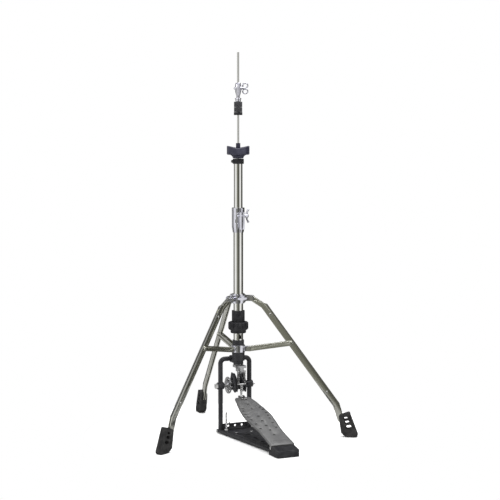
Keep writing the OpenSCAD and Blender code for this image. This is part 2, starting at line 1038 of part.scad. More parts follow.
module foot(az) {
    half_t = 10;
    slots = [[318, 56, 12, 7], [322, 44.5, 14, 8], [327, 31, 16.5, 10]];
    color([0.1, 0.1, 0.1])
        difference() {
            upright(az, -half_t, half_t)
                difference() {
                    foot_outline();
                    for (s = slots)
                        translate([s[0], s[1]])
                            rotate(14)
                                bar2d([-(s[2] - s[3]) / 2, 0], [(s[2] - s[3]) / 2, 0], s[3]);
                }
            upright_pair(az, leg_in, leg_out)
                bar2d(leg_knee, leg_end, leg_w);
        }
}

// One brace: two straight strips outside the leg, with their rivet heads
module brace(az) {
    mid_z = (casting_top + lower_hub_top) / 2;
    color(chrome) {
        difference() {
            upright_pair(az, brace_in, brace_out)
                bar2d([brace_pivot_r, mid_z], [rivet_r, rivet_z], brace_w);
            upright(az, -10, 10)
                translate([brace_pivot_r, mid_z])
                    circle(r = 2.5 + run);
        }
        upright_pair(az, brace_out, brace_out + 1.6)
            translate([rivet_r, rivet_z])
                circle(r = 4.6);
    }
}

lower_tube();
height_clamp();
clamp_bushing();
tension_housing();
stop_collar();
frame_casting();
frame_bars();
bearing_housings();
base_plate();
toe_bracket();
base_bolts();
base_pads();
heel_block();
hinge_bracket();
hinge_pin();
spring_stop();
upper_tube();
tube_guide();
seat_neck();
seat_screw();
seat_cup();
seat_sleeve();
upper_rod();
rod_coupling();
lower_rod();
spring_cap();
return_spring();
yoke();
yoke_pin();
clutch_body();
clutch_stem();
clutch_collar();
clutch_felts();
bottom_nut();
clutch_wing();
clamp_wing_bolt();
tension_knob();
lower_hub();
brace_pins();
upper_hub();
leg_pins();
hub_bolt();
leg(right_az);  // leg_right
leg(rear_az);  // leg_rear
leg(left_az);  // leg_left
foot(right_az);  // foot_right
foot(rear_az);  // foot_rear
foot(left_az);  // foot_left
brace(right_az);  // brace_right
brace(rear_az);  // brace_rear
brace(left_az);  // brace_left
footboard();
chain_anchor();
toe_pin();
drive_chain();
cross_pin();
axle();
cam_wheel();
cam_plate();
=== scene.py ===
"""Looks for a hi-hat stand: chromed column and tripod, black pedal frame, grey board and roller chain."""

import json
import math

import bmesh
import bpy
from mathutils import Matrix, Vector

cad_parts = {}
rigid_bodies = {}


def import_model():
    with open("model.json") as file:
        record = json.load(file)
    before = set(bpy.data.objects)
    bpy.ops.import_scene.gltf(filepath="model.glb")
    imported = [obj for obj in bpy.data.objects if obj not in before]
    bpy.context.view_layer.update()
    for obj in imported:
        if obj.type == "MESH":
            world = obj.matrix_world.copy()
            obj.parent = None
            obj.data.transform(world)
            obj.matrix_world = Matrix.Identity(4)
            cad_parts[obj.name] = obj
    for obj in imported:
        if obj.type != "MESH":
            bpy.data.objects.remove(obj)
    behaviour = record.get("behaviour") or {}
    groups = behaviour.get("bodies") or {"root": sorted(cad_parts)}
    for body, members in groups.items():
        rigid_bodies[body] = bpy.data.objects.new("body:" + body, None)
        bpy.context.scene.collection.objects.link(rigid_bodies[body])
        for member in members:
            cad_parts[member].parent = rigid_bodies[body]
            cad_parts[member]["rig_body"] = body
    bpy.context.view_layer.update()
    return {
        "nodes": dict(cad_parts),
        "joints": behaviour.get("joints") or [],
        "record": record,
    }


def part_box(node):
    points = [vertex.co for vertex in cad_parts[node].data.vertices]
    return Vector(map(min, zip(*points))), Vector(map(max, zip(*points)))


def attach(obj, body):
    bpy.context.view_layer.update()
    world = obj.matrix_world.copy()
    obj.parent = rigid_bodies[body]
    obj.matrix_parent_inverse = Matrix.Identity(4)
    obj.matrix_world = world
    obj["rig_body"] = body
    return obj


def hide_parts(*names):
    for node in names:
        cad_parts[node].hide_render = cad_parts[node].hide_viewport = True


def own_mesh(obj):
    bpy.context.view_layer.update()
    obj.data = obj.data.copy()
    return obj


MM = 0.001
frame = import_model()
nodes = frame["nodes"]

# Places that the frame's record states, in metres
JOINTS = {j["name"]: j for j in frame["joints"]}
YOKE_PIN = Vector(JOINTS["chain_swing"]["pos_m"])
AXLE = Vector(JOINTS["cam_spin"]["pos_m"])
CLUTCH = Vector(JOINTS["clutch_wing_turn"]["pos_m"])
CLUTCH_OUT = Vector(JOINTS["clutch_wing_turn"]["axis"])
CLAMP_BOLT = Vector(JOINTS["clamp_bolt_turn"]["pos_m"])
LEG_SIDES = ("right", "rear", "left")

# Footboard: the toe's top edge, the heel's top edge and the plane between them
TOE = Vector((0, -28 * MM, 112 * MM))
HEEL = Vector((0, -302 * MM, 28.5 * MM))
BOARD_LEN = (HEEL - TOE).length
DOWN_BOARD = (HEEL - TOE).normalized()
BOARD_UP = Vector((1, 0, 0)).cross(-DOWN_BOARD).normalized()
BOARD_FRAME = Matrix.Translation(TOE) @ Matrix(
    (
        (1, -DOWN_BOARD.x, BOARD_UP.x, 0),
        (0, -DOWN_BOARD.y, BOARD_UP.y, 0),
        (0, -DOWN_BOARD.z, BOARD_UP.z, 0),
        (0, 0, 0, 1),
    )
)
CHAIN_PITCH = 6.35 * MM
# Stands a flat outline up, facing sideways
ON_SIDE = Matrix(((0, 0, 1, 0), (1, 0, 0, 0), (0, 1, 0, 0), (0, 0, 0, 1)))


# ---- Camera, floor and light ----

def make_camera():
    data = bpy.data.cameras.new("view_camera")
    data.lens = 103.8
    data.sensor_width = 36
    camera = bpy.data.objects.new("view_camera", data)
    camera.location = (-1.7083, -3.8369, 0.9307)
    camera.rotation_euler = (math.radians(84.74), 0, math.radians(-24.47))
    bpy.context.scene.collection.objects.link(camera)
    bpy.context.scene.camera = camera


def add_node(tree, kind, **values):
    node = tree.nodes.new(kind)
    for name, value in values.items():
        setattr(node, name, value)
    return node


def math_node(tree, operation, first, second=None):
    node = add_node(tree, "ShaderNodeMath", operation=operation)
    for socket, value in zip(node.inputs, (first, second)):
        if hasattr(value, "default_value") or hasattr(value, "is_linked"):
            tree.links.new(value, socket)
        elif value is not None:
            socket.default_value = value
    return node.outputs[0]


# Brightness of the studio walls seen in polished metal: bearing in degrees from the front, then brightness
STUDIO_WALLS = (
    (-180, 0.09), (-153, 0.09), (-147, 0.6), (-127, 0.6), (-121, 0.1), (-98, 0.1), (-90, 0.95),
    (-44, 0.95), (-35, 0.26), (-10, 0.22), (0, 0.1), (30, 0.1), (38, 0.95), (76, 0.95), (86, 0.07),
    (180, 0.07),
)
FRONT = (-0.4067, -0.9135)


def make_studio():
    scene = bpy.context.scene
    scene.view_settings.view_transform = "Standard"
    world = bpy.data.worlds.new("studio")
    scene.world = world
    world.use_nodes = True
    tree = world.node_tree
    tree.nodes.clear()
    place = add_node(tree, "ShaderNodeTexCoord")
    parts = add_node(tree, "ShaderNodeSeparateXYZ")
    tree.links.new(place.outputs["Generated"], parts.inputs[0])
    x, y, z = parts.outputs
    ahead = math_node(
        tree, "ADD", math_node(tree, "MULTIPLY", x, FRONT[0]), math_node(tree, "MULTIPLY", y, FRONT[1])
    )
    aside = math_node(
        tree, "SUBTRACT", math_node(tree, "MULTIPLY", y, FRONT[0]), math_node(tree, "MULTIPLY", x, FRONT[1])
    )
    bearing = math_node(tree, "ARCTAN2", aside, ahead)
    turn = math_node(tree, "ADD", math_node(tree, "DIVIDE", bearing, 2 * math.pi), 0.5)
    ramp = add_node(tree, "ShaderNodeValToRGB")
    stops = ramp.color_ramp.elements
    for i, (degrees, bright) in enumerate(STUDIO_WALLS):
        at = (degrees + 180) / 360
        stop = stops[i] if i < 2 else stops.new(at)
        stop.position = at
        stop.color = (bright, bright, bright * (0.86 if bright < 0.5 else 1.0), 1)
    tree.links.new(turn, ramp.inputs[0])
    high = add_node(tree, "ShaderNodeMapRange")
    high.inputs["From Min"].default_value = 0.25
    high.inputs["From Max"].default_value = 0.6
    tree.links.new(z, high.inputs["Value"])
    ceiling = add_node(tree, "ShaderNodeMix", data_type="RGBA")
    tree.links.new(high.outputs[0], ceiling.inputs["Factor"])
    tree.links.new(ramp.outputs[0], ceiling.inputs[6])
    ceiling.inputs[7].default_value = (0.42, 0.42, 0.47, 1)
    light = add_node(tree, "ShaderNodeLightPath")
    pick = add_node(tree, "ShaderNodeMix", data_type="RGBA")
    tree.links.new(light.outputs["Is Glossy Ray"], pick.inputs["Factor"])
    pick.inputs[6].default_value = (1, 1, 1, 1)
    tree.links.new(ceiling.outputs[2], pick.inputs[7])
    back = add_node(tree, "ShaderNodeBackground")
    out = add_node(tree, "ShaderNodeOutputWorld")
    tree.links.new(pick.outputs[2], back.inputs["Color"])
    tree.links.new(back.outputs[0], out.inputs["Surface"])


def make_lamp(name, place, size, watts):
    data = bpy.data.lights.new(name, "AREA")
    data.energy = watts
    data.size = size
    lamp = bpy.data.objects.new(name, data)
    lamp.location = place
    lamp.rotation_euler = (Vector((0, 0, 0.4)) - Vector(place)).to_track_quat("-Z", "Y").to_euler()
    bpy.context.scene.collection.objects.link(lamp)


def make_floor():
    radius = 0.45
    mesh = bpy.data.meshes.new("floor")
    shape = bmesh.new()
    bmesh.ops.create_circle(shape, cap_ends=True, radius=radius, segments=96)
    shape.to_mesh(mesh)
    shape.free()
    floor = bpy.data.objects.new("floor", mesh)
    floor.location.z = -0.0004
    bpy.context.scene.collection.objects.link(floor)
    surface = bpy.data.materials.new("pale_floor")
    surface.use_nodes = True
    shader = surface.node_tree.nodes["Principled BSDF"]
    seen = add_node(surface.node_tree, "ShaderNodeMix", data_type="RGBA")
    seen.inputs[6].default_value = (0.93, 0.93, 0.93, 1)
    seen.inputs[7].default_value = (0.3, 0.3, 0.3, 1)
    rays = add_node(surface.node_tree, "ShaderNodeLightPath")
    surface.node_tree.links.new(rays.outputs["Is Glossy Ray"], seen.inputs["Factor"])
    surface.node_tree.links.new(seen.outputs[2], shader.inputs["Base Color"])
    shader.inputs["Roughness"].default_value = 0.9
    shader.inputs["Specular IOR Level"].default_value = 0.1
    mesh.materials.append(surface)


# ---- Finishes ----

def group_with(name, inputs, outputs):
    group = bpy.data.node_groups.new(name, "ShaderNodeTree")
    for label, kind, value in inputs:
        socket = group.interface.new_socket(label, in_out="INPUT", socket_type=kind)
        if value is not None:
            socket.default_value = value
    for label, kind in outputs:
        group.interface.new_socket(label, in_out="OUTPUT", socket_type=kind)
    return group, add_node(group, "NodeGroupInput"), add_node(group, "NodeGroupOutput")


def hand_marks_group():
    """Hand marks: a colour and a roughness that drift over the surface."""
    group, given, out = group_with(
        "handled_surface",
        (
            ("Clean Colour", "NodeSocketColor", (0.8, 0.8, 0.8, 1)),
            ("Marked Colour", "NodeSocketColor", (0.6, 0.6, 0.6, 1)),
            ("Mark Scale", "NodeSocketFloat", 30.0),
            ("Smoothest", "NodeSocketFloat", 0.1),
            ("Roughest", "NodeSocketFloat", 0.3),
        ),
        (("Colour", "NodeSocketColor"), ("Roughness", "NodeSocketFloat")),
    )
    place = add_node(group, "ShaderNodeTexCoord")
    marks = add_node(group, "ShaderNodeTexNoise")
    marks.inputs["Detail"].default_value = 5
    group.links.new(place.outputs["Object"], marks.inputs["Vector"])
    group.links.new(given.outputs["Mark Scale"], marks.inputs["Scale"])
    spread = add_node(group, "ShaderNodeMapRange")
    spread.inputs["From Min"].default_value = 0.35
    spread.inputs["From Max"].default_value = 0.68
    group.links.new(marks.outputs[0], spread.inputs["Value"])
    tint = add_node(group, "ShaderNodeMix", data_type="RGBA")
    group.links.new(spread.outputs[0], tint.inputs["Factor"])
    group.links.new(given.outputs["Clean Colour"], tint.inputs[6])
    group.links.new(given.outputs["Marked Colour"], tint.inputs[7])
    rough = add_node(group, "ShaderNodeMapRange")
    group.links.new(spread.outputs[0], rough.inputs["Value"])
    group.links.new(given.outputs["Smoothest"], rough.inputs["To Min"])
    group.links.new(given.outputs["Roughest"], rough.inputs["To Max"])
    group.links.new(tint.outputs[2], out.inputs["Colour"])
    group.links.new(rough.outputs[0], out.inputs["Roughness"])
    return group


def grain_group():
    """A stretched noise that gives a brushed, moulded or cast texture as a bumped normal."""
    group, given, out = group_with(
        "surface_grain",
        (
            ("Grain Scale", "NodeSocketFloat", 800.0),
            ("Stretch", "NodeSocketVector", (1.0, 1.0, 1.0)),
            ("Depth", "NodeSocketFloat", 0.0001),
            ("Strength", "NodeSocketFloat", 0.3),
        ),
        (("Normal", "NodeSocketVector"),),
    )
    place = add_node(group, "ShaderNodeTexCoord")
    pull = add_node(group, "ShaderNodeVectorMath", operation="MULTIPLY")
    noise = add_node(group, "ShaderNodeTexNoise")
    noise.inputs["Detail"].default_value = 3
    bump = add_node(group, "ShaderNodeBump")
    group.links.new(place.outputs["Object"], pull.inputs[0])
    group.links.new(given.outputs["Stretch"], pull.inputs[1])
    group.links.new(pull.outputs[0], noise.inputs["Vector"])
    group.links.new(given.outputs["Grain Scale"], noise.inputs["Scale"])
    group.links.new(noise.outputs[0], bump.inputs["Height"])
    group.links.new(given.outputs["Depth"], bump.inputs["Distance"])
    group.links.new(given.outputs["Strength"], bump.inputs["Strength"])
    group.links.new(bump.outputs[0], out.inputs["Normal"])
    return group


HAND_MARKS = hand_marks_group()
GRAIN = grain_group()


def finish(name, clean, marked, rough, metallic, marks=30, grain=900, stretch=(1, 1, 1), depth=0.0001,
           strength=0.25, coat=0.0, sheen=0.0, specular=0.5):
    """A finish from its clean and its marked colour, its range of roughness and the grain on it."""
    material = bpy.data.materials.new(name)
    material.use_nodes = True
    tree = material.node_tree
    shader = tree.nodes["Principled BSDF"]
    wear = add_node(tree, "ShaderNodeGroup", node_tree=HAND_MARKS)
    wear.inputs["Clean Colour"].default_value = (*clean, 1)
    wear.inputs["Marked Colour"].default_value = (*marked, 1)
    wear.inputs["Mark Scale"].default_value = marks
    wear.inputs["Smoothest"].default_value = rough[0]
    wear.inputs["Roughest"].default_value = rough[1]
    texture = add_node(tree, "ShaderNodeGroup", node_tree=GRAIN)
    texture.inputs["Grain Scale"].default_value = grain
    texture.inputs["Stretch"].default_value = stretch
    texture.inputs["Depth"].default_value = depth
    texture.inputs["Strength"].default_value = strength
    tree.links.new(wear.outputs["Colour"], shader.inputs["Base Color"])
    tree.links.new(wear.outputs["Roughness"], shader.inputs["Roughness"])
    tree.links.new(texture.outputs["Normal"], shader.inputs["Normal"])
    shader.inputs["Metallic"].default_value = metallic
    shader.inputs["Coat Weight"].default_value = coat
    shader.inputs["Specular IOR Level"].default_value = specular
    shader.inputs["Coat Roughness"].default_value = 0.12
    shader.inputs["Sheen Weight"].default_value = sheen
    return material


FINISHES = {
    "chrome_tube": finish("chrome_tube", (0.86, 0.86, 0.84), (0.78, 0.78, 0.74), (0.03, 0.09), 1,
                          marks=14, grain=500, stretch=(1, 1, 0.02), strength=0.04),
    "chrome_cast": finish("chrome_cast", (0.76, 0.76, 0.82), (0.6, 0.6, 0.66), (0.07, 0.18), 1,
                          marks=60, grain=160, depth=0.0002, strength=0.1),
    "chrome_strip": finish("chrome_strip", (0.66, 0.66, 0.60), (0.54, 0.54, 0.48), (0.12, 0.24), 1,
                           marks=22, grain=420, stretch=(1, 1, 0.15), strength=0.12),
    "steel_fastener": finish("steel_fastener", (0.72, 0.72, 0.71), (0.5, 0.5, 0.49), (0.16, 0.34), 1,
                             marks=120, grain=1400, strength=0.2),
    "black_enamel": finish("black_enamel", (0.021, 0.021, 0.024), (0.034, 0.034, 0.036), (0.3, 0.46), 0,
                           marks=45, grain=1900, depth=0.00008, strength=0.35, coat=0.03, specular=0.22),
    "black_nylon": finish("black_nylon", (0.014, 0.014, 0.016), (0.03, 0.03, 0.032), (0.4, 0.6), 0,
                          marks=70, grain=2600, depth=0.00008, strength=0.45, specular=0.15),
    "seat_plastic": finish("seat_plastic", (0.022, 0.022, 0.038), (0.05, 0.05, 0.075), (0.3, 0.5), 0,
                           marks=40, grain=2200, depth=0.00008, strength=0.4, specular=0.3),
    "rubber": finish("rubber", (0.014, 0.014, 0.014), (0.036, 0.035, 0.034), (0.62, 0.86), 0,
                     marks=65, grain=1500, depth=0.00015, strength=0.5, specular=0.15),
    "felt": finish("felt", (0.022, 0.022, 0.024), (0.06, 0.06, 0.063), (0.9, 1.0), 0,
                   marks=420, grain=1700, depth=0.0006, strength=0.9, sheen=0.08, specular=0.1),
    "board_alloy": finish("board_alloy", (0.15, 0.15, 0.148), (0.1, 0.1, 0.1), (0.38, 0.55), 0.35,
                          marks=24, grain=1300, depth=0.00012, strength=0.4),
    "chain_steel": finish("chain_steel", (0.34, 0.34, 0.34), (0.12, 0.115, 0.11), (0.22, 0.45), 1,
                          marks=220, grain=1800, strength=0.25),
    "cam_zinc": finish("cam_zinc", (0.55, 0.55, 0.55), (0.36, 0.36, 0.37), (0.24, 0.42), 1,
                       marks=70, grain=700, stretch=(1, 6, 6), strength=0.2),
}
SLOT_OF = {s["node"]: s["material_slot"] for s in frame["record"]["subparts"]}


def paint_nodes():
    for name, node in nodes.items():
        node.data.materials.clear()
        node.data.materials.append(FINISHES[SLOT_OF[name]])


# ---- Making pieces ----

def link_mesh(name, shape, body, slot_name, sharp=35):
    """Turns a bmesh into a piece that rides on a body in a slot's finish."""
    bmesh.ops.recalc_face_normals(shape, faces=shape.faces)
    mesh = bpy.data.meshes.new(name)
    shape.to_mesh(mesh)
    shape.free()
    mesh.shade_smooth()
    mesh.set_sharp_from_angle(angle=math.radians(sharp))
    piece = bpy.data.objects.new(name, mesh)
    bpy.context.scene.collection.objects.link(piece)
    mesh.materials.append(FINISHES[slot_name])
    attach(piece, body)
    return piece


def aim(axis, at):
    """Turns +Z towards an axis and moves to a point."""
    return Matrix.Translation(at) @ Vector(axis).to_track_quat("Z", "Y").to_matrix().to_4x4()


def turned(shape, profile, place=Matrix(), segments=48, ripple=0.0, lobes=0):
    """Adds the rings of a turned shape; profile is (radius, height) pairs in mm. Returns its rings."""
    rings = []
    for r, h in profile:
        ring = []
        for i in range(segments):
            a = 2 * math.pi * i / segments
            radius = r * (1 + ripple * math.cos(lobes * a)) if r > 0 else 0
            point = Vector((radius * math.cos(a), radius * math.sin(a), h)) * MM
            ring.append(shape.verts.new(place @ point))
        rings.append(ring)
    for low, high in zip(rings, rings[1:]):
        for i in range(segments):
            j = (i + 1) % segments
            shape.faces.new((low[i], low[j], high[j], high[i]))
    return rings


def joined(shape, first, last):
    """Joins two rings of the same size with a band of faces."""
    count = len(first)
    for i in range(count):
        j = (i + 1) % count
        shape.faces.new((last[i], last[j], first[j], first[i]))


def capped(shape, rings):
    shape.faces.new(reversed(rings[0]))
    shape.faces.new(rings[-1])


def button(shape, axis, at, radius, height, segments=24):
    """A low domed head, such as a rivet's or a screw's, standing on a face."""
    dome = [
        (radius, 0), (radius, height * 0.35), (radius * 0.86, height * 0.75),
        (radius * 0.5, height * 0.97), (radius * 0.12, height),
    ]
    capped(shape, turned(shape, dome, aim(axis, at), segments))


def swept(shape, points, radii, closed=False, sides=12):
    """A tube along points, with its own radius at each, in metres."""
    count = len(points)
    rings = []
    for i, point in enumerate(points):
        before = points[(i - 1) % count] if closed or i > 0 else point
        after = points[(i + 1) % count] if closed or i < count - 1 else point
        along = (after - before).normalized()
        side = along.cross(Vector((0.0123, 0.9, 0.43))).normalized()
        up = side.cross(along)
        rings.append([
            shape.verts.new(point + radii[i] * (math.cos(a) * side + math.sin(a) * up))
            for a in (2 * math.pi * k / sides for k in range(sides))
        ])
    pairs = list(zip(rings, rings[1:])) + ([(rings[-1], rings[0])] if closed else [])
    for one, two in pairs:
        for k in range(sides):
            shape.faces.new((one[k], one[(k + 1) % sides], two[(k + 1) % sides], two[k]))
    if not closed:
        shape.faces.new(reversed(rings[0]))
        shape.faces.new(rings[-1])


def slab(shape, outline, low, high, place=Matrix()):
    """A flat plate: outline in mm in the XY plane of place, from height low to high in mm."""
    bottom = [shape.verts.new(place @ Vector((x * MM, y * MM, low * MM))) for x, y in outline]
    top = [shape.verts.new(place @ Vector((x * MM, y * MM, high * MM))) for x, y in outline]
    count = len(outline)
    for i in range(count):
        j = (i + 1) % count
        shape.faces.new((bottom[i], bottom[j], top[j], top[i]))
    shape.faces.new(reversed(bottom))
    shape.faces.new(top)


def softened(node, width, segments=2, angle=32):
    """The CAD node again with its sharp edges rounded, standing for the node."""
    shape = bmesh.new()
    shape.from_mesh(nodes[node].data)
    bmesh.ops.remove_doubles(shape, verts=shape.verts, dist=2e-6)
    bmesh.ops.dissolve_limit(shape, angle_limit=math.radians(0.6), verts=shape.verts, edges=shape.edges)
    body = nodes[node]["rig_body"]
    piece = link_mesh(node + "_rounded", shape, body, SLOT_OF[node], sharp=30)
    bevel = piece.modifiers.new("edge", "BEVEL")
    bevel.width = width * MM
    bevel.segments = segments
    bevel.limit_method = "ANGLE"
    bevel.angle_limit = math.radians(angle)
    bevel.use_clamp_overlap = True
    solid = bpy.data.meshes.new_from_object(piece.evaluated_get(bpy.context.evaluated_depsgraph_get()))
    piece.modifiers.clear()
    piece.data = solid
    solid.shade_smooth()
    solid.set_sharp_from_angle(angle=math.radians(38))
    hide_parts(node)
    return piece


# ---- Seat and clutch ----

def make_seat():
    """Cymbal seat: a waisted cup whose rim dips in the middle and rises at two opposite sides."""
    low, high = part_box("seat_cup")
    rim = high.z / MM
    radius = (high.x - low.x) / 2 / MM
    base = low.z / MM - 0.6
    profile = [(5.3, base), (14.6, base), (15.2, base + 1.2), (17.0, base + 5), (19.5, base + 8),
               (23.5, base + 10), (30.6, base + 10.7), (radius - 0.9, base + 11.6), (radius, base + 13),
               (radius, rim - 8), (radius, rim - 1.6), (radius - 1.6, rim), (radius - 4.4, rim - 0.4),
               (22, rim - 4.6), (14, rim - 7.6), (10, rim - 8.6), (5.3, rim - 8.8)]
    shape = bmesh.new()
    rings = turned(shape, profile, segments=96)
    joined(shape, rings[0], rings[-1])
    across = Vector((math.cos(math.radians(-24)), math.sin(math.radians(-24)), 0))
    for vert in shape.verts:
        lift = vert.co.z / MM - (base + 13)
        if lift > 0:
            side = abs(vert.co.dot(across)) / MM / radius
            dip = 7.6 * (1 - min(1.0, side * 1.06)) * min(1.0, lift / 12)
            reach = math.hypot(vert.co.x, vert.co.y) / MM / radius
            vert.co.z -= dip * MM * max(0.0, reach - 0.25) / 0.75
    piece = link_mesh("seat_cup_waisted", shape, "cymbal_seat", "seat_plastic")
    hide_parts("seat_cup")
    # Seam of the two halves: a thin raised line
    seam = bmesh.new()
    place = Matrix.Rotation(math.radians(-60), 4, "Z")
    slab(seam, [(radius - 0.4, -0.8), (radius + 0.25, -0.8), (radius + 0.25, 0.8), (radius - 0.4, 0.8)],
         base + 13, rim - 9, place)
    link_mesh("seat_seam", seam, "cymbal_seat", "seat_plastic")


def make_clutch():
    """Clutch: an egg-shaped casting with shallow flutes, two nuts, two felts and a notched nut."""
    z = CLUTCH.z / MM
    profile = [(3.1, z + 16), (6.4, z + 16), (7.3, z + 14.6), (8.2, z + 9), (8.7, z + 3), (8.7, z - 4),
               (8.0, z - 10), (6.6, z - 16), (5.6, z - 20), (3.1, z - 20)]
    shape = bmesh.new()
    turn = Matrix.Rotation(math.radians(-24), 4, "Z")
    rings = turned(shape, profile, turn, segments=96, ripple=0.045, lobes=8)
    joined(shape, rings[0], rings[-1])
    nose = [(4.6, 5.5), (4.6, 7.5), (3.2, 10.5), (1.6, 12.6), (0.3, 13)]
    capped(shape, turned(shape, nose, aim(-CLUTCH_OUT, CLUTCH), 32))
    collar = [(5.2, 5.5), (5.2, 9.6), (4.6, 10.4)]
    capped(shape, turned(shape, collar, aim(CLUTCH_OUT, CLUTCH), 32))
    body = link_mesh("clutch_body_fluted", shape, "clutch", "chrome_cast")
    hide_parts("clutch_body")

    felts = bmesh.new()
    for low, high in ((946.0, 959.6), (960.0, 975.6)):
        felt = [
            (5.4, low + 0.5), (6.0, low), (11.2, low), (11.8, low + 0.4), (12.0, low + 1.0),
            (12.0, high - 1.0), (11.8, high - 0.4), (11.2, high), (6.0, high), (5.4, high - 0.5),
        ]
        ring = turned(felts, felt, segments=72)
        joined(felts, ring[0], ring[-1])
    piece = link_mesh("clutch_felts_soft", felts, "clutch", "felt")
    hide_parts("clutch_felts")
    softened("clutch_collar", 0.4)
    softened("bottom_nut", 0.5)


def make_wing_screw():
    """Wing screw: a boss with a round loop above and one below."""
    shape = bmesh.new()
    out = CLUTCH_OUT
    up = Vector((0, 0, 1))
    capped(shape, turned(shape, [(2.5, 3.8), (2.5, 12), (3.4, 12.4), (3.6, 15), (3.4, 19), (2.2, 20.5)],
                         aim(out, CLUTCH), 32))
    steps = 40
    for side in (-1, 1):
        points = []
        radii = []
        for i in range(steps):
            a = 2 * math.pi * i / steps
            reach = 20.6 - 7.4 * math.cos(a)
            rise = 8.4 + 6.4 * math.sin(a)
            pinch = 0.5 + 0.5 * math.cos(a)
            points.append(CLUTCH + out * reach * MM + up * side * rise * MM)
            radii.append((1.9 + 0.3 * pinch) * MM)
        swept(shape, points, radii, closed=True, sides=14)
    piece = link_mesh("clutch_wing_loops", shape, "clutch_screw", "chrome_cast", sharp=60)
    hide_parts("clutch_wing")


# ---- Column ----

def make_clamp_bolt():
    """Clamp bolt with two swept-out wings."""
    shape = bmesh.new()
    out = Vector((1, 0, 0))
    capped(shape, turned(shape, [(2.9, -13), (3.0, 9), (5.0, 9.4), (5.5, 11), (5.5, 19), (4.4, 21.6)],
                         aim(out, CLAMP_BOLT), 32))
    for side in (-1, 1):
        points = []
        radii = []
        for i in range(12):
            t = i / 11
            points.append(CLAMP_BOLT + Vector((17 + 6 * t * t, 0, side * (3 + 16.5 * t))) * MM)
            radii.append((3.2 - 1.0 * t + (0.8 if i in (9, 10) else 0)) * MM)
        swept(shape, points, radii, sides=16)
    piece = link_mesh("clamp_wings", shape, "clamp_screw", "chrome_cast", sharp=60)
    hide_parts("clamp_wing_bolt")


def make_knob():
    """Tension knob: rounded lobes above a ribbed skirt."""
    low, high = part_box("tension_knob")
    z0, z1 = low.z / MM, high.z / MM
    outer = (high.x - low.x) / 2 / MM
    lobes = 14
    segments = lobes * 12
    bore = 14.4
    profile = [
        (bore, z0), (21.6, z0), (22.8, z0 + 1.2), (23.0, z0 + 8.4), (27.6, z0 + 10.2),
        (outer - 1.4, z0 + 12), (outer - 0.7, z0 + 14.5), (outer - 0.7, z1 - 4),
        (outer - 1.6, z1 - 1.5), (outer - 4.2, z1), (bore, z1),
    ]
    shape = bmesh.new()
    rings = []
    for r, h in profile:
        ring = []
        for i in range(segments):
            a = 2 * math.pi * i / segments
            wave = abs(math.cos(lobes * a / 2)) ** 0.55
            depth = 2.6 * max(0.0, (r - 24) / 6) + (0.5 if 22 < r < 24 else 0)
            radius = r - depth * (1 - wave)
            ring.append(shape.verts.new(Vector((radius * math.cos(a), radius * math.sin(a), h)) * MM))
        rings.append(ring)
    for one, two in zip(rings, rings[1:] + rings[:1]):
        for i in range(segments):
            j = (i + 1) % segments
            shape.faces.new((one[i], one[j], two[j], two[i]))
    piece = link_mesh("tension_knob_lobed", shape, "tension_adjuster", "black_nylon", sharp=50)
    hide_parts("tension_knob")


# ---- Chain ----

def link_outline(pitch, height, waist):
    """One link plate's outline in mm: two round ends a pitch apart along Y, with a waist between."""
    points = []
    for end, start in ((1, 0), (-1, 180)):
        for i in range(9):
            a = math.radians(start + 180 * i / 8)
            points.append((height / 2 * math.cos(a), end * pitch / 2 + height / 2 * math.sin(a)))
    for i, x in ((9, -1), (19, 1)):
        points.insert(i, (x * waist / 2, 0))
    return points


def make_strand(name, x, bottom, top, half, slot_name):
    """A run of roller chain between two heights: plates, rollers and riveted pins."""
    shape = bmesh.new()
    y = YOKE_PIN.y
    links = round((top - bottom) / CHAIN_PITCH)
    pitch = CHAIN_PITCH / MM
    outline = link_outline(pitch, 6.4, 4.6)
    for i in range(links):
        middle = bottom + (i + 0.5) * CHAIN_PITCH
        inner = 0 if i % 2 else 0.85
        for side in (-1, 1):
            near, far = half - inner - 0.75, half - inner
            low, high = sorted((side * near, side * far))
            slab(shape, outline, low, high, Matrix.Translation((x, y, middle)) @ ON_SIDE)
    for i in range(links + 1):
        at = Vector((x, y, bottom + i * CHAIN_PITCH))
        core = half - 1.7
        pin = [
            (1.1, -half), (1.25, -half + 0.3), (1.25, -core), (1.75, -core), (1.75, core),
            (1.25, core), (1.25, half - 0.3), (1.1, half),
        ]
        capped(shape, turned(shape, pin, aim((1, 0, 0), at), 16))
    piece = link_mesh(name, shape, "chain", slot_name)
    return piece


def make_chain():
    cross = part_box("cross_pin")
    cross_z = (cross[0].z + cross[1].z) / 2
    toe_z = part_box("toe_pin")
    toe_z = (toe_z[0].z + toe_z[1].z) / 2
    outer = 9.9 * MM
    left = make_strand("chain_strand_left", -outer, cross_z, YOKE_PIN.z, 2.6, "chain_steel")
    make_strand("chain_strand_right", outer, cross_z, YOKE_PIN.z, 2.6, "chain_steel")
    make_strand("chain_strand_toe", 0, toe_z + 2 * CHAIN_PITCH, cross_z, 3.0, "steel_fastener")
    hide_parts("drive_chain")
    # Shackle that joins the last strand to the toe pin
    shape = bmesh.new()
    eye_radius = 4.6
    eye_steps = 24
    toe = Vector((0, YOKE_PIN.y, toe_z))
    points = []
    for i in range(eye_steps):
        a = 2 * math.pi * i / eye_steps
        points.append(toe + Vector((0, eye_radius * math.cos(a), eye_radius * math.sin(a))) * MM)
    swept(shape, points, [1.0 * MM] * eye_steps, closed=True, sides=10)
    strap = [(-3.0, 4.4), (3.0, 4.4), (2.6, 14.2), (-2.6, 14.2)]
    for side in (-1, 1):
        slab(shape, strap, side * 1.6 - 0.5, side * 1.6 + 0.5, Matrix.Translation(toe) @ ON_SIDE)
    link_mesh("chain_shackle", shape, "chain", "steel_fastener")


# ---- Footboard and base ----

